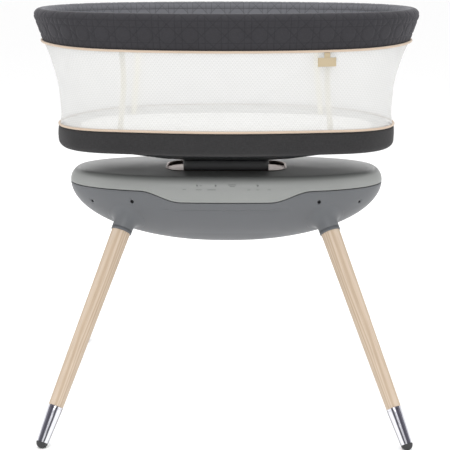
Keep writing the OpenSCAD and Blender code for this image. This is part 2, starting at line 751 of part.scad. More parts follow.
upper_shell();
lower_shell();
slot_trim();
base_frame();
rail_block(-1);  // rail_block_left
rail_block(1);  // rail_block_right
guide_rods();
gearbox();
motor();
control_board();
light_guides();
speaker();
power_inlet();
corner(-1, -1) leg();  // leg_front_left
corner(1, -1) leg();  // leg_front_right
corner(-1, 1) leg();  // leg_rear_left
corner(1, 1) leg();  // leg_rear_right
corner(-1, -1) ferrule();  // ferrule_front_left
corner(1, -1) ferrule();  // ferrule_front_right
corner(-1, 1) ferrule();  // ferrule_rear_left
corner(1, 1) ferrule();  // ferrule_rear_right
corner(-1, -1) foot();  // foot_front_left
corner(1, -1) foot();  // foot_front_right
corner(-1, 1) foot();  // foot_rear_left
corner(1, 1) foot();  // foot_rear_right
leg_bolts();
shell_screws();
pinion();
carriage();
linear_bushes();
rack();
slot_cover();
neck_core();
neck_cover();
floor_pan();
neck_screws();
floor_tube();
mattress_board();
post_sockets();
corner(-1, -1) post();  // post_front_left
corner(1, -1) post();  // post_front_right
corner(-1, 1) post();  // post_rear_left
corner(1, 1) post();  // post_rear_right
rim_tube();
rim_foam();
rim_cover();
piping_upper();
mesh_wall();
piping_lower();
lower_band();
label_loop();
label();
mattress();
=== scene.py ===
# %% [markdown]
# # A bassinet on a four-legged stand
# A mesh-walled oval basket stands on a short neck. The neck glides along a slot in a smooth plastic pod,
# and the pod stands on four splayed wooden legs with polished tips.
#
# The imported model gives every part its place, so this lesson only makes what the eye sees. Each piece is
# a bmesh shape with a painted-in-nodes finish, and it rides on the body that it moves with.

# %% Load the frame
from math import acos, asin, atan2, cos, exp, floor, hypot, pi, radians, sin, sqrt, tau

import bmesh
import bpy
from mathutils import Matrix, Vector


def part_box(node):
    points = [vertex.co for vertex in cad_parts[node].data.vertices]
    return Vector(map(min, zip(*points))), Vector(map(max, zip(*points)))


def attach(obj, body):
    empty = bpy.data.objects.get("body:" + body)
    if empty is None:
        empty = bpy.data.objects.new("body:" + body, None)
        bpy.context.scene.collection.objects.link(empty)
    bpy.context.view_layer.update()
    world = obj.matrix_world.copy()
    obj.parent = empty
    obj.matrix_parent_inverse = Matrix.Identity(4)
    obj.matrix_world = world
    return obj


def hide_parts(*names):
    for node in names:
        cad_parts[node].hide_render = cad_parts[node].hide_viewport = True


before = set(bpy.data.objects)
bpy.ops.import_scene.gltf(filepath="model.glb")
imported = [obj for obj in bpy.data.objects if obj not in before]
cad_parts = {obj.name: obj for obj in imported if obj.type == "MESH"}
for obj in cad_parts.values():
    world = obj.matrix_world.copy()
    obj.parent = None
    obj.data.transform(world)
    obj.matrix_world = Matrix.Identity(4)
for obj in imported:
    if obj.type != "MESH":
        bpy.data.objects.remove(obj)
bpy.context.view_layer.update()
scene = bpy.context.scene

# %% [markdown]
# ## Sizes
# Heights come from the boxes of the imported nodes. The basket's outline is made of four arcs that are
# tangent where they meet: two tight ones at the ends and two wide ones along the sides. Everything on
# the basket lies at some distance outside or inside that one outline.

# %% Heights and outline of the basket
pan_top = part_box("lower_band")[0].z + 0.003
band_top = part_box("lower_band")[1].z
mesh_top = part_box("mesh_wall")[1].z
rim_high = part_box("rim_cover")[1]
rim_top = rim_high.z
ROLL = 0.015                            # radius of the padded roll on top
rim_z = rim_top - ROLL
RIM_A, RIM_B = round(rim_high.x, 3), round(rim_high.y, 3)   # half the length and width over the rim
END_R = RIM_B - 0.030                   # radius of the end arcs
END_C = RIM_A - END_R
SIDE_C = (END_C ** 2 - 0.030 ** 2) / (2 * 0.030)
SIDE_R = RIM_B + SIDE_C                 # radius of the side arcs
SIDE_ANGLE = atan2(END_C, SIDE_C)
END_ARC = (pi - 2 * SIDE_ANGLE) * END_R
SIDE_ARC = 2 * SIDE_ANGLE * SIDE_R
OUTLINE = 2 * (END_ARC + SIDE_ARC)
# outside the outline: the skirt's foot, the band's face and the inner edge of its lip
SKIRT_OUT, BAND_OUT, LIP_IN = -0.018, -0.046, -0.0558
WAIST, FLARE = -0.0535, 0.0055          # the mesh at its narrowest, and how far its foot turns out again
print(f"rim {2 * RIM_A:.3f} x {2 * RIM_B:.3f} m, ends {END_R:.3f} m and sides {SIDE_R:.3f} m in radius")

# %% Points round the basket
def within(share):
    return min(max(share, 0), 1)


def oval(turn, off, z):
    """The point a share turn round the basket from its right end, off outside the rim's outline."""
    half, s = divmod((turn % 1) * OUTLINE + END_ARC / 2, END_ARC + SIDE_ARC)
    if s < END_ARC:
        angle = s / END_R - (pi / 2 - SIDE_ANGLE)
        x, y = END_C + (END_R + off) * cos(angle), (END_R + off) * sin(angle)
    else:
        angle = pi / 2 - SIDE_ANGLE + (s - END_ARC) / SIDE_R
        x, y = (SIDE_R + off) * cos(angle), (SIDE_R + off) * sin(angle) - SIDE_C
    return Vector((-x, -y, z)) if half % 2 else Vector((x, y, z))


def tip_lift(turn):
    """The seam under the skirt rises a little towards the two ends of the oval."""
    return 0.007 * abs(oval(turn, 0, 0).x / RIM_A) ** 5


def low_drop(turn):
    """The seam over the band, and the band with it, sinks a little towards the ends."""
    return 0.001 - 0.009 * abs(oval(turn, 0, 0).x / RIM_A) ** 3


def wall_off(z):
    """How far outside the outline the mesh wall stands at a height."""
    share = within((z - band_top) / (mesh_top - band_top))
    return WAIST + (SKIRT_OUT + 0.0012 - WAIST) * share ** 2.6 + FLARE * exp(-(z - band_top) / 0.012)


print(f"outline {OUTLINE:.3f} m round, rim at {rim_top:.3f} m")

# %% [markdown]
# ## A skin over a grid
# Most of this object is a skin that runs round something: a cover, a cord, a shell, a turned leg. So one
# helper does for all of them. It starts from a flat grid, moves each vertex to its place, and welds the
# edges where they meet. The grid's own coordinates become the UV map, which the finishes can follow.

# %% Skins and pieces
def skin(columns, rows, place, round_rows=False):
    """A welded grid whose vertex at shares u and v is moved to place(u, v). Its outside is where u runs
    anticlockwise and v upwards."""
    mesh = bmesh.new()
    uv = mesh.loops.layers.uv.new("UVMap")
    bmesh.ops.create_grid(mesh, x_segments=columns, y_segments=rows, size=0.5)
    for face in mesh.faces:
        for loop in face.loops:
            loop[uv].uv = (loop.vert.co.x + 0.5, loop.vert.co.y + 0.5)
    for vert in mesh.verts:
        vert.co = place(vert.co.x + 0.5, vert.co.y + 0.5)
    bmesh.ops.remove_doubles(mesh, verts=mesh.verts, dist=2e-6)
    bmesh.ops.dissolve_degenerate(mesh, edges=mesh.edges, dist=1e-7)
    return mesh


def data_of(mesh, name):
    """The bmesh as mesh data; the bmesh is used up."""
    data = bpy.data.meshes.new(name)
    mesh.to_mesh(data)
    mesh.free()
    return data


def joined(*meshes):
    """One bmesh from several."""
    whole = bmesh.new()
    for mesh in meshes:
        data = data_of(mesh, "join")
        whole.from_mesh(data)
        bpy.data.meshes.remove(data)
    return whole

# %% Pieces
def piece(mesh, name, body, material, slot=None, nodes=None, outward=False, crease=None):
    """Makes a smooth object of the mesh and rides it on a body. The slot is not used. It stands for the node
    of its own name, unless others are given."""
    if outward:
        bmesh.ops.recalc_face_normals(mesh, faces=mesh.faces)
    data = data_of(mesh, name)
    data.materials.append(material)
    data.shade_smooth()
    if crease:
        data.set_sharp_from_angle(angle=radians(crease))
    obj = bpy.data.objects.new(name, data)
    scene.collection.objects.link(obj)
    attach(obj, body)
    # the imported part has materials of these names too, so Blender puts a number after ours
    slot or material.name.split(".")[0]
    replaced = [name] if nodes is None else nodes
    if replaced:
        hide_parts(*replaced)
    print(f"{name}: {len(data.polygons)} faces")
    return obj


def thicken(obj, depth):
    """Gives a skin a wall on its inner side."""
    wall = obj.modifiers.new("wall", "SOLIDIFY")
    wall.thickness = depth
    wall.offset = -1
    wall.use_even_offset = True

# %% [markdown]
# ## Node maths as expressions
# A finish is a small program in nodes. `Field` wraps one socket, so that +, -, *, / and the comparisons
# add Math nodes, and the maths of a pattern reads like the maths it is. `Finish.node` adds any other node.

# %% Fields
class Field:
    """A number, colour or vector that varies over a surface."""

    def __init__(self, finish, socket):
        self.finish, self.socket = finish, socket

    def do(self, operation, *others, swap=False):
        values = (others + (self,)) if swap else ((self,) + others)
        return self.finish.node("ShaderNodeMath", {"operation": operation}, dict(enumerate(values)))

    def __add__(self, other): return self.do("ADD", other)
    def __sub__(self, other): return self.do("SUBTRACT", other)
    def __rsub__(self, other): return self.do("SUBTRACT", other, swap=True)
    def __mul__(self, other): return self.do("MULTIPLY", other)
    def __truediv__(self, other): return self.do("DIVIDE", other)
    def __mod__(self, other): return self.do("FLOORED_MODULO", other)
    def __abs__(self): return self.do("ABSOLUTE")
    def __lt__(self, other): return self.do("LESS_THAN", other)
    def wave(self): return self.do("SINE")
    def up_to(self, other): return self.do("MINIMUM", other)
    def at_least(self, other): return self.do("MAXIMUM", other)
    def held(self): return self.up_to(1).at_least(0)
    __radd__, __rmul__ = __add__, __mul__

# %% Finishes
class Finish:
    """One material: its node tree, and the Principled surface at its end."""

    def __init__(self, name, **surface):
        self.material = bpy.data.materials.new(name)
        self.material.use_nodes = True
        self.tree = self.material.node_tree
        self.surface = self.tree.nodes["Principled BSDF"]
        for key, value in surface.items():
            self.set(key.replace("_", " ").title().replace("Ior", "IOR"), value)

    def set(self, socket, value):
        """Sets a socket of the surface to a constant, or links a field to it."""
        into = self.surface.inputs[socket]
        if isinstance(value, Field):
            self.tree.links.new(value.socket, into)
        elif into.type == "RGBA":
            into.default_value = (*value[:3], 1)
        else:
            into.default_value = value
        return self

    def node(self, kind, settings=(), values=(), out=0):
        """Adds a node: its settings first, then the values or links of its sockets."""
        made = self.tree.nodes.new(kind)
        for key, value in dict(settings).items():
            if key == "stops":
                ramp = made.color_ramp.elements
                while len(ramp) < len(value):
                    ramp.new(0.5)
                for stop, (at, colour) in zip(ramp, value):
                    stop.position, stop.color = at, (*colour[:3], 1)
            else:
                setattr(made, key, value)
        for key, value in dict(values).items():
            if isinstance(value, Field):
                self.tree.links.new(value.socket, made.inputs[key])
            else:
                made.inputs[key].default_value = value
        return Field(self, made.outputs[out])

    def place(self, what="Object"):
        """Where on the piece: Object gives metres, UV gives the piece's own map."""
        return self.node("ShaderNodeTexCoord", out=what)

    def scaled(self, vector, scale, turn=(0, 0, 0)):
        return self.node("ShaderNodeMapping", {}, {"Vector": vector, "Scale": scale, "Rotation": turn})

    def split(self, vector):
        """The vector's three numbers."""
        made = self.node("ShaderNodeSeparateXYZ", {}, {"Vector": vector})
        return [Field(self, socket) for socket in made.socket.node.outputs]

    def joined(self, x, y, z=0.0):
        return self.node("ShaderNodeCombineXYZ", {}, {0: x, 1: y, 2: z})

    def noise(self, vector, scale, detail=2.0, rough=0.5):
        return self.node("ShaderNodeTexNoise", {}, {
            "Vector": vector, "Scale": scale, "Detail": detail, "Roughness": rough})

    def mix(self, share, first, second, blend="MIX"):
        """Between two colours by a share."""
        colours = [(*c[:3], 1) if isinstance(c, tuple) else c for c in (first, second)]
        return self.node("ShaderNodeMix", {"data_type": "RGBA", "blend_type": blend},
                         {0: share, 6: colours[0], 7: colours[1]}, out=2)

    def bump(self, height, distance, strength=1.0):
        """Links a height, in the units of distance, to the surface's normal."""
        return self.set("Normal", self.node("ShaderNodeBump", {}, {
            "Height": height, "Distance": distance, "Strength": strength}))


def srgb(*values):
    """A linear colour from the 0 to 255 values that a designer reads off a swatch."""
    return tuple(((v / 255 + 0.055) / 1.055) ** 2.4 if v > 10 else v / 255 / 12.92 for v in values)


print("finish helpers ready")

# %% [markdown]
# ## Plastics, metals and wood
# The pod is satin moulded plastic: nearly one colour, with a very fine grain in its surface and a faint
# unevenness in its gloss. Metals differ in how they were worked, so brushed ones get long thin scratches
# and turned ones get rings. The legs are pale ash: long grain, cut across by slow darker bands.

# %% Plastic and rubber
def plastic(name, colour, rough, grain=900.0, depth=0.00004, drift=0.03, top_shade_from=None, **surface):
    """Moulded plastic with a fine grain and a slow drift in colour and gloss. Above a given height its colour
    is painted darker: painted shade on the flat top, which lies under the basket."""
    paint = Finish(name, **surface)
    spot = paint.place()
    slow = paint.noise(spot, 9, 3)
    fine = paint.noise(spot, grain, 2)
    dark = tuple(c * (1 - 2 * drift) for c in colour)
    light = tuple(c * (1 + drift) for c in colour)
    base = paint.mix(slow * 0.7 + fine * 0.3, dark, light)
    if top_shade_from is not None:
        # painted shade: over 7 mm above the given height the colour darkens to the shade that the basket
        # casts on the top
        _, _, height = paint.split(spot)
        top_shade = ((height - top_shade_from) / 0.007).held()
        base = paint.mix(top_shade, base, tuple(c * 0.62 for c in colour))
    paint.set("Base Color", base)
    paint.set("Roughness", (slow - 0.5) * 0.12 + (fine - 0.5) * 0.08 + rough)
    return paint.bump(fine, depth, 0.5).material


# the upper plastic is painted darker above this height: painted shade on the top, under the basket
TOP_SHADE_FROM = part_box("upper_shell")[1].z - 0.011      # the flat top begins here
upper_plastic = plastic("upper_plastic", srgb(134, 136, 134), 0.42, top_shade_from=TOP_SHADE_FROM)
lower_plastic = plastic("lower_plastic", srgb(88, 90, 93), 0.46)
dark_plastic = plastic("dark_plastic", srgb(40, 41, 43), 0.38)
foot_rubber = plastic("foot_rubber", srgb(44, 44, 46), 0.62, grain=500, depth=0.0001)
bush_polymer = plastic("bush_polymer", srgb(210, 208, 200), 0.4)
clear_plastic = plastic("clear_plastic", srgb(108, 110, 109), 0.3)
board_green = plastic("board_green", srgb(30, 92, 58), 0.4, drift=0.15)
screw_black = plastic("screw_black", srgb(34, 34, 36), 0.35, metallic=0.6)
print("plastics ready")

# %% Metals
def brushed(name, colour, rough, along="X", **surface):
    """Metal with long fine scratches along one axis."""
    paint = Finish(name, metallic=1.0, **surface)
    stretch = [520.0, 520.0, 520.0]
    stretch["XYZ".index(along)] = 14.0
    scratch = paint.noise(paint.scaled(paint.place(), stretch), 1, 4, 0.6)
    patch = paint.noise(paint.place(), 22, 2)
    paint.set("Base Color", paint.mix(scratch * 0.6 + patch * 0.4, tuple(c * 0.86 for c in colour), colour))
    paint.set("Roughness", (scratch - 0.5) * 0.2 + (patch - 0.5) * 0.12 + rough)
    return paint.bump(scratch, 0.00003, 0.6).material


champagne_metal = brushed("champagne_metal", srgb(148, 133, 127), 0.34)
frame_steel = brushed("frame_steel", srgb(150, 152, 154), 0.45)
rail_aluminium = brushed("rail_aluminium", srgb(186, 188, 190), 0.4, "Z")
rod_steel = brushed("rod_steel", srgb(205, 206, 208), 0.14)
motor_can = brushed("motor_can", srgb(120, 122, 126), 0.35, "Z")
tube_aluminium = brushed("tube_aluminium", srgb(196, 198, 200), 0.36)
gear_brass = brushed("gear_brass", srgb(196, 160, 92), 0.32, "Z")
print("brushed metals ready")

# %% Polished metal
def polished(name):
    """Bright chrome that was turned on a lathe: faint rings, finger smudges in the gloss, and painted
    reflections: dark and light bands round the taper, painted into its colour.
    """
    paint = Finish(name, metallic=1.0)
    u, v, _ = paint.split(paint.place("UV"))
    ring = (v * 900).wave() * 0.5 + 0.5
    smudge = paint.noise(paint.place(), 60, 3)
    # long soft streaks down the taper, as a lathe's polishing wheel leaves them
    # painted reflection: soft dark and light bands down the taper, painted into the colour where the chrome
    # would mirror the room
    angle = u * tau
    painted_reflection = (angle * 3 + 0.7).wave() * 0.5 + (angle * 7 + smudge * 2).wave() * 0.32
    painted_reflection = painted_reflection + (angle * 13 + 2).wave() * 0.18
    paint.set("Base Color", paint.mix(((painted_reflection + 0.25) * 2.2).held(), srgb(84, 83, 92), srgb(222, 222, 228)))
    paint.set("Roughness", (smudge - 0.5).at_least(0) * 0.25 + 0.07)
    return paint.bump(ring, 0.000015, 0.35).material


polished_metal = polished("polished_metal")
print("metals ready")

# %% Wood
def ash_wood(name, light, middle, dark, pitch=1.0, legs=True):
    """Pale ash along the piece's own map: u goes round and v along, in shares of its length."""
    paint = Finish(name, specular_ior_level=0.42)
    if legs:
        u, v, _ = paint.split(paint.place("UV"))
        angle = u * tau
        round_x, round_y = (angle + pi / 2).wave(), angle.wave()
        spot = paint.joined(round_x * 0.018, round_y * 0.018, v * 0.40)
    else:
        spot = paint.scaled(paint.place(), (1, 1, 1), (0, pi / 2, 0))
    wander = paint.noise(paint.scaled(spot, (30, 30, 3.2)), 1, 3)
    rings = paint.node("ShaderNodeTexWave", {"wave_type": "BANDS", "bands_direction": "X"}, {
        "Vector": paint.scaled(spot, (1, 0.7, 0.05)), "Scale": 62 * pitch, "Distortion": 5.5,
        "Detail": 3.0, "Detail Scale": 1.6, "Phase Offset": 0.6}, out=1)
    fibre = paint.noise(paint.scaled(spot, (1400, 1400, 26)), 1, 3, 0.65)
    pores = paint.noise(paint.scaled(spot, (800, 800, 12)), 1, 1)
    tone = rings * 0.45 + wander * 0.45 + (fibre - 0.5) * 0.35
    stops = [(0.18, dark), (0.46, middle), (0.8, light)]
    grain = paint.node("ShaderNodeValToRGB", {"stops": stops}, {0: tone})
    pore = (pores < 0.37) * 0.35
    paint.set("Base Color", paint.mix(pore, grain, tuple(c * 0.7 for c in dark)))
    paint.set("Roughness", fibre * 0.14 + 0.44)
    return paint.bump(fibre * 0.6 - pore, 0.00012, 0.5).material


leg_wood = ash_wood("leg_wood", srgb(192, 176, 159), srgb(183, 165, 145), srgb(168, 148, 126))
board_wood = ash_wood("board_wood", srgb(222, 205, 180), srgb(206, 186, 158), srgb(182, 158, 128), 0.5, False)
print("wood ready")

# %% [markdown]
# ## Fabrics
# Five cloths are on the basket. The rim and the band are a dark grey melange: light and dark yarns woven
# together, so the colour is speckled at the size of a thread. The wall is a white knitted mesh with small
# six-sided holes, half see-through. The piping is a tan tape wrapped round a cord. The sheet and lining are
# fine plain weave. All of them follow the piece's own map, in metres, so that the threads run with the cloth.

# %% Woven cloth
def woven(name, dark, light, around, along, thread=0.0011, sheen=0.25, melange=0.6, depth=0.00025, rough=0.85,
          over=None):
    """Plain weave on the map; around and along are the lengths in metres that the map's shares stand for.
    over may turn the woven colour and height into others, as stitching does."""
    paint = Finish(name, sheen_weight=sheen, sheen_roughness=0.45, specular_ior_level=0.25)
    paint.surface.inputs["Sheen Tint"].default_value = (*tuple(min(1, c * 3 + 0.08) for c in light), 1)
    u, v, _ = paint.split(paint.place("UV"))
    x, y = u * (around / thread), v * (along / thread)
    weft = ((x * pi).wave() * (y * pi + pi / 2).wave()) * 0.5 + 0.5
    cross = abs((x * pi).wave()) * abs((y * pi).wave())
    cells = paint.joined(x, y)
    yarn = paint.noise(paint.scaled(cells, (0.16, 1.1, 1)), 1, 2)
    pick = paint.noise(paint.scaled(cells, (1.1, 0.16, 1)), 1.07, 2)
    slow = paint.noise(paint.place(), 14, 3)
    speckle = (yarn * 0.5 + pick * 0.5 - 0.5) * (2.6 * melange) + (slow - 0.5) * 0.25 + 0.5
    tone = speckle * 0.75 + cross * 0.25
    colour, height = paint.mix(tone.held(), dark, light), weft * 0.5 + cross * 0.5
    if over:
        colour, height = over(paint, u * around, v * along, colour, height)
    paint.set("Base Color", colour)
    paint.set("Roughness", (speckle - 0.5) * 0.1 + rough)
    return paint.bump(height, depth, 0.5).material

# %% Cloths of the basket
band_fabric = woven("band_fabric", srgb(19, 19, 20), srgb(57, 56, 57), OUTLINE, 0.12, 0.0014)
piping_fabric = woven("piping_fabric", srgb(168, 149, 131), srgb(210, 192, 173),
                      OUTLINE, 0.0157, 0.0008, 0.2, 0.3)
sheet_fabric = woven("sheet_fabric", srgb(204, 204, 201), srgb(228, 228, 225),
                     OUTLINE, 0.3, 0.0012, 0.15, 0.2)
lining_fabric = woven("lining_fabric", srgb(170, 170, 167), srgb(198, 198, 195),
                      OUTLINE, 0.06, 0.0012, 0.15, 0.3)
post_cloth = woven("post_cloth", srgb(222, 216, 192), srgb(246, 241, 222), 0.04, 0.33, 0.0012, 0.15, 0.3)
label_fabric = woven("label_fabric", srgb(160, 145, 118), srgb(188, 173, 146), 0.04, 0.02, 0.0007, 0.15, 0.2)
foam_yellow = woven("foam_yellow", srgb(206, 196, 150), srgb(232, 224, 184), OUTLINE, 0.08, 0.002, 0.1, 0.9)
print("woven cloths ready")

# %% Knitted mesh
def knitted(name, thread_colour, around, along, pitch=0.0049):
    """White mesh: threads round six-sided holes, in rows that are offset by half a hole."""
    paint = Finish(name, roughness=0.7, specular_ior_level=0.2, sheen_weight=0.1)
    u, v, _ = paint.split(paint.place("UV"))
    x, y = u * (round(around / pitch)), v * (along / pitch / 0.866)
    row = y.do("FLOOR") % 2
    dx = abs((x + row * 0.5) % 1 - 0.5)
    dy = abs(y % 1 - 0.5) * 0.866
    hole = dx * dx + dy * dy
    open_part = ((0.30 - hole.do("SQRT")) * 12).held()
    knit = paint.noise(paint.joined(u * (around * 900), v * (along * 900)), 1, 2)
    tone = paint.mix(knit, tuple(c * 0.9 for c in thread_colour), thread_colour)
    paint.set("Base Color", tone)
    # every second row of a coarser repeat is knitted a little closer, which shows as a soft dotted figure
    figure = ((u * (around / 0.0098 * tau)).wave() * (v * (along / 0.0098 * tau)).wave()) * 0.5 + 0.5
    slow = paint.noise(paint.place(), 7, 2)
    paint.set("Alpha", 0.64 - open_part * 0.10 + figure * 0.07 + (knit - 0.5) * 0.06 + (slow - 0.5) * 0.05)
    return paint.bump(knit * 0.4 - open_part * 0.6 + figure * 0.4, 0.0003, 0.5).material


mesh_fabric = knitted("mesh_fabric", srgb(213, 213, 212), OUTLINE, 0.19)
print("mesh ready")

# %% [markdown]
# ## The quilted rim
# The rim is a padded cover over a foam roll, with a skirt outside and a lining inside. Its stitching makes a
# cane pattern: pairs of lines up and round, and single lines that cross between them, so that an
# eight-sided cushion is left in the middle of each square. A bump map alone would leave the rim's edge
# smooth, so the stitches are grooves in the mesh: every vertex is pushed in by its distance to a stitch.

# %% Sizes of the quilting
CELL = OUTLINE / 48                     # one square of the stitched pattern
PAIR = 0.007                            # each line of a pair lies this far from the pair's middle
FIRST_PAIR = 0.0105                     # the lowest pair's middle, up the skirt
SKIRT = hypot(0.0178, rim_z - 0.0026 - mesh_top)
TURN = radians(200)                     # how far the roll turns from the skirt to the lining
LINING = hypot(0.0232, rim_z - 0.0026 - mesh_top)
ACROSS = SKIRT + ROLL * TURN + LINING
FACE = 0.92                             # share of the strip that is the outer face
print(f"squares of {CELL * 1000:.1f} mm, cloth {ACROSS * 1000:.0f} mm wide from foot to foot")

# %% Section of the rim
def rim_path(w):
    """Distance off the outline, height and outward direction at a distance w from the skirt's foot."""
    if w < SKIRT:
        share = w / SKIRT
        return SKIRT_OUT + 0.0178 * share, mesh_top + share * (rim_z - 0.0026 - mesh_top), -radians(17)
    if w < SKIRT + ROLL * TURN:
        angle = (w - SKIRT) / ROLL - radians(10)
        return -ROLL + ROLL * cos(angle), rim_z + ROLL * sin(angle), angle
    share = (w - SKIRT - ROLL * TURN) / LINING
    return -0.0298 - 0.0232 * share, rim_z - 0.0026 - share * (rim_z - 0.0026 - mesh_top), radians(180 + 21.7)

# %% Stitches
def to_stitches(s, w):
    """Distances to the nearest upright, level and slanting stitch, for numbers or fields alike, at s round
    the rim and w across it."""
    beside = abs((s / CELL + 0.5) % 1 - 0.5) * CELL
    above = abs(((w - FIRST_PAIR) / CELL + 0.5) % 1 - 0.5) * CELL
    return abs(beside - PAIR), abs(above - PAIR), abs(beside + above - CELL / 2) * 0.7071


def stitch(s, w):
    """Height of the padding: 0 on a stitch, 1 between."""
    rise = 1
    for distance, width in zip(to_stitches(s, w), (0.0022, 0.0022, 0.0020)):
        rise *= 1 - exp(-(distance / width) ** 2)
    return rise
print(f"padding on a stitch {stitch(PAIR, 0):.2f}, between {stitch(CELL / 2, FIRST_PAIR + CELL / 2):.2f}")

# %% Quilted surface
def quilted(u, v):
    """The cover's outer face over the share FACE of v, then its inner face back to the foot."""
    out = v / FACE if v <= FACE else 1 - (v - FACE) / (1 - FACE)
    w = out * ACROSS
    off, z, lean = rim_path(w)
    if v <= FACE:
        edge = min(w, ACROSS - w) / 0.004
        crest = exp(-((w - SKIRT - ROLL * TURN / 2) / 0.020) ** 2)
        puff = 0.0012 * (stitch(u * OUTLINE, w) - 0.6) * min(edge, 1) * (1 - 0.7 * crest)
    else:
        puff = -0.003
    share = 1 - within((z - mesh_top) / (rim_z - mesh_top))
    return oval(u, off + puff * cos(lean), z + puff * sin(lean) + tip_lift(u) * share)


def stitched(paint, s, w, colour, height):
    """Paints shade into the cloth where the thread pulls it in, and paints the roll's crest and the lining
    beyond it paler, as painted light where the light falls on them.
    """
    w = w / FACE
    upright, level, slanting = to_stitches(s, w)
    nearest = upright.up_to(level).up_to(slanting)
    # painted shade: the stitch grooves are darkened where shade falls in them; the groove also deepens the
    # bump
    groove = (1 - nearest / 0.0011).at_least(0)
    # painted light: from just before the crest on, over the lining, the same cloth is painted paler where
    # light falls on it
    inside = ((w - SKIRT - ROLL * TURN * 0.42) / 0.010).held()
    colour = paint.mix(inside * 0.85, colour, paint.mix(0.75, colour, srgb(112, 113, 118)))
    return paint.mix(groove * 0.5, colour, srgb(26, 26, 29)), height - groove * 1.2

# %% Quilted cover
quilted_fabric = woven("quilted_fabric", srgb(25, 24, 27), srgb(62, 61, 65), OUTLINE, ACROSS,
                       sheen=0.35, melange=0.35, over=stitched)
cover = skin(1152, 84, quilted)
# weld the two long edges of the strip, so that the cover is a closed body
bmesh.ops.remove_doubles(cover, verts=cover.verts, dist=1e-5)
open_edges = [e for e in cover.edges if e.is_boundary]
if open_edges:
    bmesh.ops.bridge_loops(cover, edges=open_edges)
rim_cover = piece(cover, "rim_cover", "glider", quilted_fabric, outward=True)

# %% [markdown]
# ## Pipings, mesh wall, band and lining
# Two tan cords close the seams over and under the mesh. The mesh itself is one sheet that is stretched
# between them: it stands upright at its foot and curves out towards the rim. Below it a band of grey
# melange wraps the floor, and a pale lining slopes from the wall's foot to the mattress.

# %% Piping cords
def cord_round(name, off, z, lift=0, drop=0, radius=0.0026):
    """A cord round the basket, with the shallow ribs of the tape that wraps it."""
    def place(u, v):
        angle = v * tau
        ribs = 1 + 0.035 * cos(u * 380 * tau + angle)
        rise = lift * tip_lift(u) + drop * low_drop(u)
        return oval(u, off + radius * ribs * cos(angle), z + radius * ribs * sin(angle) + rise)
    return piece(skin(1520, 10, place), name, "glider", piping_fabric, outward=True)


piping_upper = cord_round("piping_upper", SKIRT_OUT + 0.00255, mesh_top - 0.001, lift=1)
low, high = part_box("piping_lower")
piping_lower = cord_round("piping_lower", BAND_OUT - 0.0022, (low.z + high.z) / 2, drop=1)

# %% Mesh wall
def wall(u, v):
    """The stretched mesh, from the band's top to the skirt's foot, with slight slack between the posts."""
    z = band_top + 0.0006 + v * (mesh_top - band_top - 0.001)
    slack = 0.0012 * sin(v * pi) * sin(u * 8 * tau) + 0.0005 * sin(v * 5 * pi) * sin(u * 22 * tau + 1.3)
    return oval(u, wall_off(z) - 0.0007 + slack, z + tip_lift(u) * v + low_drop(u) * (1 - v))


mesh_wall = piece(skin(480, 40, wall), "mesh_wall", "glider", mesh_fabric)
OUTLINE - 0.22

# %% Band
def band(u, v):
    """The band's section as one closed path: down its face, round the turn, under the flange and back."""
    turn_off, turn_z, radius = BAND_OUT - 0.018, pan_top - 0.003 + 0.018, 0.018
    path = [(LIP_IN, band_top - 0.0016), (BAND_OUT - 0.005, band_top - 0.0012),
            (BAND_OUT - 0.002, band_top - 0.0022), (BAND_OUT - 0.0004, band_top - 0.0055),
            (BAND_OUT, band_top - 0.012), (BAND_OUT + 0.0006, band_top - 0.022), (BAND_OUT, turn_z + 0.006)]
    turn = [radians(a) for a in range(0, -91, -15)]
    path += [(turn_off + radius * cos(a), turn_z + radius * sin(a)) for a in turn]
    path += [(BAND_OUT - 0.030, pan_top - 0.003), (BAND_OUT - 0.030, pan_top - 0.0004)]
    inner = radius - 0.0025
    back = [radians(a) for a in range(-90, 1, 30)]
    path += [(turn_off + inner * cos(a), turn_z + inner * sin(a)) for a in back]
    path += [(BAND_OUT - 0.0028, band_top - 0.008), (LIP_IN, band_top - 0.0042)]
    off, z = path[round(v * len(path)) % len(path)]
    height = (z - pan_top) / (band_top - pan_top)
    ease = 0.0007 * sin(u * 18 * tau) * sin(pi * within(height))
    return oval(u, off + ease, z + low_drop(u) + 0.003 * (1 - height))


BAND_PATH = 22
band_mesh = skin(480, BAND_PATH, band)
lower_band = piece(band_mesh, "lower_band", "glider", band_fabric, outward=True, crease=75)
bend = lower_band.modifiers.new("soften", "SUBSURF")
bend.levels = bend.render_levels = 1
OUTLINE - 0.30

# %% Lining
mattress_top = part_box("mattress")[1].z
mattress_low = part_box("mattress")[0].z


def lining(u, v):
    """From the wall's foot a short way down, then in to the mattress's edge, sagging between them."""
    off = -0.0595 - 0.0265 * v
    z = band_top + 0.004 + (mattress_top - 0.012 - band_top - 0.004) * v ** 0.8 - 0.003 * sin(pi * v)
    return oval(u, off, z + low_drop(u) * (1 - v))


floor_lining = piece(skin(360, 10, lining), "floor_lining", "glider", lining_fabric, "sheet_fabric", [])
OUTLINE - 0.42

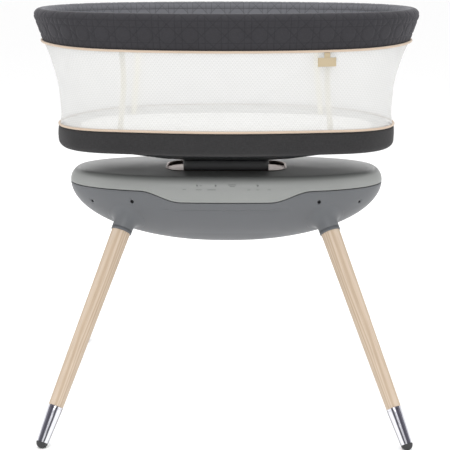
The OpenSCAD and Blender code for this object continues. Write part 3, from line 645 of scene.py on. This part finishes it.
# %% Mattress in its fitted sheet
def mattress(u, v):
    """A crowned pad: v runs from the middle of the underside, round the edge, to the middle of the top."""
    edge_off = -0.0920
    thick = mattress_top - mattress_low
    if v < 0.25:
        share, z = v / 0.25, mattress_low
        return oval(u, edge_off, z) * share * 0.985 + Vector((0, 0, z * (1 - share * 0.985)))
    if v < 0.55:
        angle = (v - 0.25) / 0.30 * pi - pi / 2
        swell = 0.0055 * cos(angle)
        pucker = 0.0008 * sin(u * 96 * tau) * max(0.0, -sin(angle))
        rim = oval(u, edge_off - 0.0045 + swell + pucker, 0)
        return Vector((rim.x, rim.y, mattress_low + thick / 2 * (1 + sin(angle))))
    share = 1 - (v - 0.55) / 0.45
    flat = oval(u, edge_off - 0.0045, 0)
    crown = 0.006 * (1 - share ** 3)
    seam = -0.0018 * exp(-((share - 0.93) / 0.012) ** 2)
    crease = 0.0007 * sin(flat.x * 34 * share + 2 * sin(flat.y * 21 * share)) * (1 - share ** 4)
    return Vector((flat.x * share, flat.y * share, mattress_top + crown + seam + crease))


pad = piece(skin(480, 60, mattress), "mattress", "mattress", sheet_fabric, outward=True)

# %% [markdown]
# ## Posts and label
# Four slim posts in cream sleeves hold the rim up. They start upright just inside the mesh and bend
# outwards to reach the roll. A small cloth tag hangs on a loop under the skirt. It is left blank.

# %% Posts
POST_OFF, POST_X, BEND_R, SPLAY = -0.07348, 0.200 / 0.425 * RIM_A, 0.150, radians(6)
post_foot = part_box("post_front_right")[0].z
bend_z = band_top + 0.4 * (mesh_top - band_top)
reach = Vector((-ROLL - POST_OFF - BEND_R, rim_z - bend_z))
BEND = pi - atan2(reach.y, reach.x) - acos(BEND_R / reach.length)
UPPER = sqrt(reach.length ** 2 - BEND_R ** 2) - 0.008


def post_line(v):
    """Outward distance, height and lean of the post's middle line."""
    straight, bent = bend_z - post_foot, BEND_R * BEND
    s = v * (straight + bent + UPPER)
    if s < straight:
        return 0, post_foot + s, 0
    if s < straight + bent:
        a = (s - straight) / BEND_R
        return BEND_R * (1 - cos(a)), bend_z + BEND_R * sin(a), a
    s -= straight + bent
    return BEND_R * (1 - cos(BEND)) + s * sin(BEND), bend_z + BEND_R * sin(BEND) + s * cos(BEND), BEND
print(f"posts bend out by {BEND * 180 / pi:.0f} degrees")

# %% Where the posts stand
aside = asin(POST_X / (SIDE_R + POST_OFF))
POST_FRAME = (Matrix.Translation((0, -SIDE_C, 0)) @ Matrix.Rotation(pi / 2 - aside, 4, "Z")
              @ Matrix.Translation((SIDE_R + POST_OFF, 0, rim_z)) @ Matrix.Rotation(-SPLAY, 4, "X")
              @ Matrix.Translation((0, 0, -rim_z)))


def mirrored(mesh, side, end):
    """Turns a rear right piece into any corner's. One mirror turns its faces inside out, two don't."""
    bmesh.ops.scale(mesh, vec=(side, end, 1), verts=mesh.verts)
    if side * end < 0:
        bmesh.ops.reverse_faces(mesh, faces=mesh.faces)
    return mesh

# %% The four posts
def post(u, v):
    """A round post in a sleeve that is gathered a little, with one sewn seam down its inner side."""
    out, z, lean = post_line(v)
    a = -u * tau
    r = 0.0061 + 0.00025 * sin(v * 23) * sin(v * 61 + a) + 0.0007 * exp(-((u - 0.5) / 0.02) ** 2)
    return POST_FRAME @ Vector((out + r * cos(a) * cos(lean), r * sin(a), z - r * cos(a) * sin(lean)))


def ends_closed(mesh):
    """Caps every open end."""
    bmesh.ops.holes_fill(mesh, edges=[e for e in mesh.edges if e.is_boundary], sides=0)
    return mesh


CORNERS = {"front_left": (-1, -1), "front_right": (1, -1), "rear_left": (-1, 1), "rear_right": (1, 1)}
for where, (side, end) in CORNERS.items():
    piece(mirrored(ends_closed(skin(20, 72, post)), side, end), f"post_{where}", "glider", post_cloth,
          outward=True, crease=60)

# %% Blank tag on its loop
low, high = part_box("label")
LABEL_X = (low.x + high.x) / 2
tag_top, tag_low = high.z, low.z


def on_front(x, off, z):
    """A point on the front wall: x along it, off outside the outline."""
    return Vector((x, -(sqrt((SIDE_R + off) ** 2 - x ** 2) - SIDE_C), z))


def tag(u, v):
    """Two layers of tape folded at the foot, with a slight curl."""
    across, up = (u - 0.5) * 0.038, tag_low + v * (tag_top - tag_low)
    curl = 0.0022 * (1 - v) ** 2 + 0.0007 * sin(u * pi) + 0.0008
    return on_front(LABEL_X + across, SKIRT_OUT + 0.0022 + curl, up)


label = piece(skin(24, 14, tag), "label", "glider", label_fabric)
thicken(label, 0.0009)


def loop(u, v):
    """A short doubled tape from under the piping to the tag."""
    off, z = SKIRT_OUT + 0.0026 + 0.0012 * sin(v * pi), tag_top - 0.002 + v * 0.0125
    return on_front(LABEL_X + (u - 0.5) * 0.012, off, z)


label_loop = piece(skin(8, 8, loop), "label_loop", "glider", label_fabric, "piping_fabric")
thicken(label_loop, 0.001)

# %% [markdown]
# ## The pod
# The pod is one smooth body in two shells. Seen from above it is a squarish oval, its lower half is a deep
# bowl and its upper half a tight shoulder. The shells meet at a line that dips under the controls. Each
# shell is a skin through level rings, so the line where they meet can be an exact edge of both.

# %% Shape of the pod
shell_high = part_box("upper_shell")[1]
POD_A, POD_B = shell_high.x, shell_high.y
POD_TOP = shell_high.z - 0.002          # its edges are eased by this much
SHOULDER_H, SHOULDER_IN, SHOULDER_END = 0.028, 0.024, radians(85)
BOWL = 0.143
POD_MID = POD_TOP - SHOULDER_H
POD_POWER = 2.4
SPLIT_MID, SPLIT_END = POD_MID - 0.027, POD_MID - 0.003
DIP_NEAR, DIP_FAR = 0.096, 0.190        # the dip is level out to here, and gone from there on


def squared(angle):
    c, s = cos(angle), sin(angle)
    power = 2 / POD_POWER
    return Vector((abs(c) ** power * (1 if c > 0 else -1), abs(s) ** power * (1 if s > 0 else -1)))

# %% Outline in even steps
POD_COLUMNS = 440
samples = [squared(i / 6000 * tau) for i in range(6001)]
lengths = [0.0]
for before, after in zip(samples, samples[1:]):
    lengths.append(lengths[-1] + hypot((after.x - before.x) * POD_A, (after.y - before.y) * POD_B))
pod_outline, nearest = [], 0
for column in range(POD_COLUMNS):
    along = lengths[-1] * column / POD_COLUMNS
    while lengths[nearest + 1] < along:
        nearest += 1
    share = (along - lengths[nearest]) / (lengths[nearest + 1] - lengths[nearest])
    pod_outline.append(samples[nearest].lerp(samples[nearest + 1], share))
print("pod outline", len(pod_outline), "points,", round(lengths[-1], 3), "m round")

# %% Bowl, shoulder and joint
def split_z(x):
    """Height of the line where the shells meet."""
    share = within((abs(x) - DIP_NEAR) / (DIP_FAR - DIP_NEAR))
    return SPLIT_MID + (SPLIT_END - SPLIT_MID) * (1 - cos(pi * share)) / 2


def on_bowl(side, z, inset=0.0):
    """The bowl's point at a height, in the direction of a point of the unit outline."""
    level = sqrt(max(1 - ((POD_MID - z) / (BOWL - inset)) ** 2, 0))
    return Vector((side.x * (POD_A - inset) * level, side.y * (POD_B - inset) * level, z))


def split_on(side):
    """Height of the joint on this side of the bowl."""
    z = POD_MID - 0.015
    for _ in range(8):
        z = split_z(on_bowl(side, z).x)
    return z


def on_shoulder(side, angle, inset=0.0):
    inwards = inset + SHOULDER_IN * (1 - cos(angle))
    up = (SHOULDER_H - inset) * sin(angle) / sin(SHOULDER_END)
    return Vector((side.x * (POD_A - inwards), side.y * (POD_B - inwards), POD_MID + up))
print(f"the joint is {SPLIT_END:.3f} m high at the ends and {SPLIT_MID:.3f} m at the front")

# %% Rounded rectangle
def round_rect(share, x, y, r):
    """A point of a rounded rectangle, by its share of the way round from the right."""
    quarter, s = divmod((share % 1) * 4, 1)
    parts = (y / 2 - r, r * pi / 2, x / 2 - r)
    turned = quarter % 2
    parts = parts[::-1] if turned else parts
    s *= sum(parts)
    if s < parts[0]:
        px, py = (0, y / 2) if turned else (x / 2, 0)
        px, py = (px + s, py) if turned else (px, py + s)
    elif s < parts[0] + parts[1]:
        a = (s - parts[0]) / r
        a = pi / 2 - a if turned else a
        px, py = x / 2 - r + r * cos(a), y / 2 - r + r * sin(a)
    else:
        s -= parts[0] + parts[1]
        px, py = (x / 2, y / 2 - r - s) if turned else (x / 2 - r - s, y / 2)
    sx, sy = ((1, 1), (-1, 1), (-1, -1), (1, -1))[int(quarter) % 4]
    return Vector((sx * px, sy * py))

# %% Upper shell
low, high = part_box("slot_trim")
SLOT_X, SLOT_Y, SLOT_R = high.x - low.x, high.y - low.y, 0.040
TO_MID, TO_TOP, TO_SLOT = 10, 16, 10
UPPER_ROWS = 2 + TO_MID + TO_TOP + TO_SLOT + 1


def upper(u, v):
    """From a chamfered lip at the joint, up the fascia and over the shoulder, in to the slot."""
    column, row = round(u * POD_COLUMNS) % POD_COLUMNS, round(v * UPPER_ROWS)
    side = pod_outline[column]
    split = split_on(side)
    if row == 0:
        return on_bowl(side, split + 0.0003, 0.0018)
    if row <= 1 + TO_MID:
        start = split + 0.0016
        return on_bowl(side, start + (POD_MID - start) * (row - 1) / TO_MID)
    if row <= 1 + TO_MID + TO_TOP:
        return on_shoulder(side, SHOULDER_END * (row - 1 - TO_MID) / TO_TOP)
    outer = on_shoulder(side, SHOULDER_END)
    slot = round_rect(column / POD_COLUMNS, SLOT_X, SLOT_Y, SLOT_R)
    if row <= 1 + TO_MID + TO_TOP + TO_SLOT:
        share = ((row - 1 - TO_MID - TO_TOP) / TO_SLOT) ** 1.15
        return Vector((outer.x + (slot.x - outer.x) * share, outer.y + (slot.y - outer.y) * share, POD_TOP))
    return Vector((slot.x, slot.y, POD_TOP - 0.003))


upper_shell = piece(skin(POD_COLUMNS, UPPER_ROWS, upper), "upper_shell", "stand", upper_plastic,
                    crease=40)
thicken(upper_shell, 0.002)

# %% Line of the legs
LEG_TOP = Vector((POD_A - 0.123, POD_B - 0.038, POD_MID - 0.100))
LEG_FOOT = Vector((0.384, 0.345, 0.011))
LEG_RUN = LEG_TOP - LEG_FOOT
LEG_L = LEG_RUN.length
LEG_FRAME = (Matrix.Translation(LEG_TOP) @ Matrix.Rotation(atan2(LEG_RUN.y, LEG_RUN.x), 4, "Z")
             @ Matrix.Rotation(acos(LEG_RUN.z / LEG_L), 4, "Y"))
INTO_LEG = LEG_FRAME.inverted()
COLLAR_R = 0.0232
BELLY = 0.469                           # a shallow step runs across the belly at this height
print(f"legs {LEG_L:.3f} m from collar to tip")

# %% Where a leg meets the bowl
def outside_bowl(p):
    """Positive outside the bowl."""
    level = (abs(p.x / POD_A) ** POD_POWER + abs(p.y / POD_B) ** POD_POWER) ** (2 / POD_POWER)
    return level + ((POD_MID - p.z) / BOWL) ** 2 - 1


def reach_bowl(angle, r):
    """How far up the leg a line beside its axis meets the bowl."""
    low_s, high_s = -0.02, 0.11
    for _ in range(30):
        s = (low_s + high_s) / 2
        if outside_bowl(LEG_FRAME @ Vector((r * cos(angle), r * sin(angle), s))) > 0:
            low_s = s
        else:
            high_s = s
    return low_s

# %% Collar
COLLAR_ROWS = 20


def collar(u, v):
    """From inside the mouth, round its lip and up, then in a smooth fillet on to the bowl."""
    angle, row = u * tau, round(v * COLLAR_ROWS)
    lip = [(0.0213, 0.008), (0.0213, 0.0014), (0.0217, 0.0003), (0.0222, 0.0), (0.0228, 0.0004),
           (COLLAR_R, 0.0016)]
    if row < len(lip):
        r, s = lip[row]
        return LEG_FRAME @ Vector((r * cos(angle), r * sin(angle), s))
    meet = reach_bowl(angle, COLLAR_R)
    start = max(min(0.016, meet - 0.020), 0.004)
    share = (row - len(lip)) / (COLLAR_ROWS - len(lip))
    p0 = Vector((COLLAR_R * cos(angle), COLLAR_R * sin(angle), start))
    p1 = Vector((COLLAR_R * cos(angle), COLLAR_R * sin(angle), meet))
    r2 = COLLAR_R + 0.021
    p2 = Vector((r2 * cos(angle), r2 * sin(angle), reach_bowl(angle, r2)))
    return LEG_FRAME @ (p0 * (1 - share) ** 2 + p1 * (2 * share * (1 - share)) + p2 * share ** 2)

# %% Bowl
LOWER_TOP, LOWER_SIDE, LOWER_ROWS = 2, 8, 60


def lower(u, v):
    """From the joint's tucked lip down to the belly's step, then round to the middle of the underside."""
    column, row = round(u * POD_COLUMNS) % POD_COLUMNS, round(v * LOWER_ROWS)
    side = pod_outline[column]
    top = split_on(side)
    if row == 0:
        return on_bowl(side, top - 0.0004, 0.0020)
    if row == 1:
        return on_bowl(side, top - 0.0009, 0.0006)
    start, step = top - 0.0022, BELLY + 0.0009
    if row <= LOWER_TOP + LOWER_SIDE:
        return on_bowl(side, start + (step - start) * (row - LOWER_TOP) / LOWER_SIDE)
    a0 = acos((POD_MID - BELLY + 0.0007) / BOWL)
    share = (row - LOWER_TOP - LOWER_SIDE - 1) / (LOWER_ROWS - LOWER_TOP - LOWER_SIDE - 1)
    z = POD_MID - BOWL * cos(a0 * (1 - share))
    p = on_bowl(side, z)
    across = within((0.150 - abs(p.x)) / 0.035)
    fade = within((z - 0.385) / 0.02)
    depth = 0.0030 * across ** 2 * (3 - 2 * across) * fade
    return on_bowl(side, z, depth)

# %% Bowl with its holes
def punch(mesh, centre, axis, radius):
    """Cuts a round hole: the faces on it go, and the vertices round them move to its rim."""
    axis = axis.normalized()
    inside = [f for f in mesh.faces if (f.calc_center_median() - centre).length < 0.02
              and (f.calc_center_median() - centre).cross(axis).length < radius]
    rim = {v for f in inside for v in f.verts}
    bmesh.ops.delete(mesh, geom=inside, context="FACES")
    for vert in (v for v in rim if v.is_valid):
        out = vert.co - centre
        along = axis * out.dot(axis)
        vert.co = centre + along + (out - along).normalized() * radius


bowl = skin(POD_COLUMNS, LOWER_ROWS, lower)
bmesh.ops.reverse_faces(bowl, faces=bowl.faces)
hidden = []
for face in bowl.faces:
    at = face.calc_center_median()
    beside = INTO_LEG @ Vector((abs(at.x), abs(at.y), at.z))
    if hypot(beside.x, beside.y) < 0.034:
        hidden.append(face)
bmesh.ops.delete(bowl, geom=hidden, context="FACES")
BOLT_DROP, SCREW_DROP, INLET_DROP = 0.028, 0.036, 0.046      # below the pod's widest line
BOLT_R, SCREW_R, INLET_R = 0.0044, 0.0037, 0.0062
SCREW_LEAN = radians(35)
screw_level = sqrt(1 - (SCREW_DROP / BOWL) ** 2)
bolt_x = LEG_TOP.x + LEG_RUN.x / LEG_RUN.z * (POD_MID - BOLT_DROP - LEG_TOP.z)
screw_x = POD_A - 0.058


def ring_y(x, a, b):
    """Half the width of a level ring of the pod, at x, for its half sizes a and b."""
    return b * (1 - (x / a) ** POD_POWER) ** (1 / POD_POWER)


bolt_y = ring_y(bolt_x, POD_A * 0.98, POD_B * sqrt(1 - (BOLT_DROP / BOWL) ** 2))
screw_y = ring_y(screw_x, POD_A * screw_level, POD_B * screw_level)
for side in (-1, 1):
    for end in (-1, 1):
        punch(bowl, Vector((side * bolt_x, end * bolt_y, POD_MID - BOLT_DROP)), Vector((0, end, 0)), BOLT_R)
        punch(bowl, Vector((side * screw_x, end * screw_y, POD_MID - SCREW_DROP)),
              Vector((side * sin(SCREW_LEAN), end * cos(SCREW_LEAN), 0)), SCREW_R)
inlet_y = POD_B * sqrt(1 - (INLET_DROP / BOWL) ** 2)
punch(bowl, Vector((0, inlet_y, POD_MID - INLET_DROP)), Vector((0, 1, 0)), INLET_R)
print("bowl", len(bowl.faces), "faces")

# %% Lower shell with its collars
collars = [mirrored(skin(64, COLLAR_ROWS, collar), side, end) for side, end in CORNERS.values()]
lower_shell = piece(joined(bowl, *collars), "lower_shell", "stand", lower_plastic,
                    crease=40)
thicken(lower_shell, 0.0019)

# %% [markdown]
# ## Slot, neck and controls
# A champagne metal trim lines the slot, and a plate of the same metal closes it from below and glides with
# the neck. The dark neck is a hollow moulding with softened edges. On the front of the pod is a row of
# small touch marks, which are only dots, rings and bars here.

# %% Trim and neck
def ring_section(path, x, y, r, columns=160):
    """A closed section run round a rounded rectangle; path gives steps in from its outline, and heights."""
    def place(u, v):
        inset, z = path[round(v * len(path)) % len(path)]
        p = round_rect(u, x - 2 * inset, y - 2 * inset, max(r - inset, 0.001))
        return Vector((p.x, p.y, z))
    return skin(columns, len(path), place)


z0, z1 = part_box("slot_trim")[0].z, POD_TOP + 0.0004
trim_path = [(0, z0), (0, z1 - 0.0006), (-0.0012, z1 - 0.0005), (-0.0014, z1 - 0.0001),
             (-0.0008, z1 + 0.0004), (0.0004, z1 + 0.0007), (0.0018, z1 + 0.0005), (0.0027, z1),
             (0.003, z1 - 0.0008), (0.003, z0)]
piece(ring_section(trim_path, SLOT_X, SLOT_Y, SLOT_R), "slot_trim", "stand", champagne_metal,
      outward=True, crease=50)

neck_low, neck_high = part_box("neck_cover")
z0, z1 = neck_low.z, neck_high.z
NECK_X, NECK_Y = neck_high.x - neck_low.x, neck_high.y - neck_low.y
neck_path = [(0.0010, z0), (0.0003, z0 + 0.0004), (0, z0 + 0.0012), (0, z1 - 0.0044), (0.0006, z1 - 0.0036),
             (0.0040, z1 - 0.0006), (0.0052, z1), (0.0068, z1), (0.003 + 0.0035, z1 - 0.004), (0.003, z0)]
piece(ring_section(neck_path, NECK_X, NECK_Y, 0.014), "neck_cover", "glider", dark_plastic,
      outward=True, crease=50)

# %% Touch marks
def on_fascia(x, z):
    """A point of the pod's front at x and a height above its widest line."""
    up = (z - POD_MID) / SHOULDER_H * sin(SHOULDER_END)
    inwards = SHOULDER_IN * (1 - sqrt(1 - up ** 2))
    a, b = POD_A - inwards, POD_B - inwards
    return Vector((x, -b * (1 - (abs(x) / a) ** POD_POWER) ** (1 / POD_POWER) - 0.0002, z))


def dot(x, z, r):
    mesh = bmesh.new()
    bmesh.ops.create_circle(mesh, cap_ends=True, segments=20, radius=r)
    return placed(mesh, x, z)


def ring(x, z, r):
    mesh = bmesh.new()
    bmesh.ops.create_circle(mesh, cap_ends=True, segments=24, radius=r)
    bmesh.ops.inset_region(mesh, faces=mesh.faces[:], thickness=r * 0.3)
    bmesh.ops.delete(mesh, geom=[max(mesh.faces, key=lambda f: len(f.verts))], context="FACES")
    return placed(mesh, x, z)


def bar(x, z, w, h):
    mesh = bmesh.new()
    bmesh.ops.create_grid(mesh, x_segments=6, y_segments=1, size=0.5)
    bmesh.ops.scale(mesh, vec=(w, h, 1), verts=mesh.verts)
    return placed(mesh, x, z)


def placed(mesh, x, z):
    for vert in mesh.verts:
        vert.co = on_fascia(x + vert.co.x, z + vert.co.y)
    return mesh

# %% Row of marks
mark_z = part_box("light_guides")[0].z + 0.0035
marks = [ring(-0.089, mark_z, 0.0034), dot(-0.0615, mark_z, 0.0019), bar(-0.053, mark_z, 0.005, 0.0012),
         ring(-0.038, mark_z, 0.0030), dot(-0.021, mark_z, 0.0019),
         bar(0.015, mark_z + 0.0018, 0.017, 0.0013), bar(0.015, mark_z - 0.0014, 0.011, 0.0013),
         ring(0.051, mark_z, 0.0030), dot(0.070, mark_z, 0.0021), ring(0.095, mark_z, 0.0034)]
marks += [bar(x, mark_z - 0.0085, w, 0.0011) for x, w in ((-0.089, 0.007), (-0.0575, 0.012), (-0.030, 0.018),
                                                          (0.051, 0.006), (0.070, 0.006), (0.095, 0.007))]
touch_marks = piece(joined(*marks), "touch_marks", "stand", clear_plastic, "clear_guides",
                    ["light_guides"])
thicken(touch_marks, -0.0002)

# %% [markdown]
# ## Legs
# Each leg is a turned taper in pale ash. Its lower end is sheathed in polished metal, and it stands on a
# rubber tip. All three are turned shapes, so they are skins round the leg's axis.

# %% Turned pieces
def turned(path, columns=48):
    """A skin through (radius, distance up the leg) pairs, closed at both ends."""
    def place(u, v):
        r, s = path[round(v * (len(path) - 1))]
        return LEG_FRAME @ Vector((r * cos(u * tau), r * sin(u * tau), s))
    return ends_closed(skin(columns, len(path) - 1, place))

# %% Leg, ferrule and foot
WOOD_LOW = -(LEG_L - 0.080)
leg_path = [(0.0150, WOOD_LOW), (0.0156, WOOD_LOW + 0.0002), (0.01600, WOOD_LOW + 0.0010)]
leg_path += [(0.016 + 0.005 * i / 30, WOOD_LOW * (1 - i / 30) + 0.0015 * (1 - i / 30)) for i in range(31)]
leg_path += [(0.021, 0.019), (0.0205, 0.0198), (0.0195, 0.020)]
tip = -LEG_L
# ferrule: radius, and height over the tip: a rolled foot, the taper, a turned groove and a rounded mouth
ferrule_steps = [(0.0110, 0.0002), (0.0122, 0.0003), (0.0127, 0.0010), (0.0128, 0.0030)]
ferrule_steps += [(0.0128 + (0.0162 - 0.0128) * i / 14, 0.003 + 0.070 * i / 14) for i in range(1, 15)]
ferrule_steps += [(0.0162, 0.0742), (0.0156, 0.0746), (0.0156, 0.0753), (0.01635, 0.0757),
                  (0.0164, 0.0785), (0.0162, 0.0795), (0.0158, 0.0799), (0.0150, 0.0799)]
ferrule_path = [(r, tip + s) for r, s in ferrule_steps]
foot_path = [(0.0126 * cos(radians(a)), tip + 0.0126 * sin(radians(a))) for a in range(-89, 1, 8)]
foot_path += [(0.0126, tip - 0.0003), (0.0120, tip - 0.00005), (0.0105, tip)]


def on_floor(mesh):
    """Flattens the rubber where it stands."""
    for vert in mesh.verts:
        vert.co.z = max(vert.co.z, 0.0)
    return mesh


for where, (side, end) in CORNERS.items():
    piece(mirrored(turned(leg_path), side, end), f"leg_{where}", "stand", leg_wood, outward=True, crease=50)
    piece(mirrored(turned(ferrule_path, 64), side, end), f"ferrule_{where}", "stand", polished_metal,
          outward=True, crease=45)
    piece(mirrored(on_floor(turned(foot_path, 40)), side, end), f"foot_{where}", "stand", foot_rubber,
          outward=True, crease=60)

# %% [markdown]
# ## Inner parts
# The frame, the drive and the fasteners keep the shapes that the model gives them. They only need finishes
# that say what they are made of.

# %% Finishes of the inner parts
INNER = (
    (frame_steel, "base_frame"), (board_green, "control_board"), (motor_can, "motor"),
    (rail_aluminium, "rail_block_left rail_block_right carriage neck_core"),
    (rod_steel, "guide_rods rack neck_screws"), (gear_brass, "gearbox pinion"),
    (screw_black, "speaker leg_bolts shell_screws"), (bush_polymer, "linear_bushes"),
    (dark_plastic, "power_inlet floor_pan post_sockets"), (champagne_metal, "slot_cover"),
    (tube_aluminium, "floor_tube rim_tube"), (board_wood, "mattress_board"), (foam_yellow, "rim_foam"),
)
print("inner finishes:", len(INNER))
for finish, names in INNER:
    for name in names.split():
        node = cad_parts[name]
        node.data.materials.clear()
        node.data.materials.append(finish)

# %% [markdown]
# ## Floor, light and camera
# A wide pale floor fills the view. One large soft light above and in front does most of the work, two long
# ones at the sides shape the pod, and one behind keeps the far wall of the basket bright.

# %% Floor
FLOOR_SIDE = 70                         # metres, so that its edge stays out of view
mesh = bmesh.new()
bmesh.ops.create_grid(mesh, x_segments=1, y_segments=1, size=FLOOR_SIDE / 2)
floor_data = data_of(mesh, "floor")
paper = Finish("floor_paper", base_color=(0.98, 0.98, 0.98), roughness=0.9, specular_ior_level=0.1)
floor_data.materials.append(paper.material)
ground = bpy.data.objects.new("floor", floor_data)
scene.collection.objects.link(ground)
print("stage ready")

# %% Lights
def soft_light(name, at, target, size, power):
    light = bpy.data.lights.new(name, "AREA")
    light.shape, light.size, light.size_y = "RECTANGLE", size[0], size[1]
    light.energy = power
    obj = bpy.data.objects.new(name, light)
    obj.location = at
    obj.rotation_euler = (Vector(target) - Vector(at)).to_track_quat("-Z", "Y").to_euler()
    scene.collection.objects.link(obj)


for lamp in (("overhead", (0.0, -0.6, 3.2), (0, 0, 0.5), (3.0, 2.4), 34),
             ("left_wall", (-2.6, -0.8, 1.4), (0, 0, 0.55), (1.0, 2.2), 8),
             ("right_wall", (2.6, -0.8, 1.4), (0, 0, 0.55), (1.0, 2.2), 8),
             ("front", (0.0, -3.6, 2.7), (0, 0, 0.5), (2.6, 1.4), 40),
             ("behind", (0.0, 2.8, 1.9), (0, 0, 0.6), (3.0, 1.2), 34)):
    soft_light(*lamp)
world = bpy.data.worlds.new("studio")
scene.world = world
world.use_nodes = True
world.node_tree.nodes["Background"].inputs["Color"].default_value = (1, 1, 1, 1)
world.node_tree.nodes["Background"].inputs["Strength"].default_value = 1.0
scene.view_settings.view_transform = "Standard"

# %% Camera
camera = bpy.data.cameras.new("camera")
camera.lens, camera.sensor_width = 93.5, 36
eye = bpy.data.objects.new("camera", camera)
eye.location = (0.033, -2.632, 1.033)
eye.rotation_euler = (radians(90 - 13.5), 0, radians(0.78))
scene.collection.objects.link(eye)
scene.camera = eye
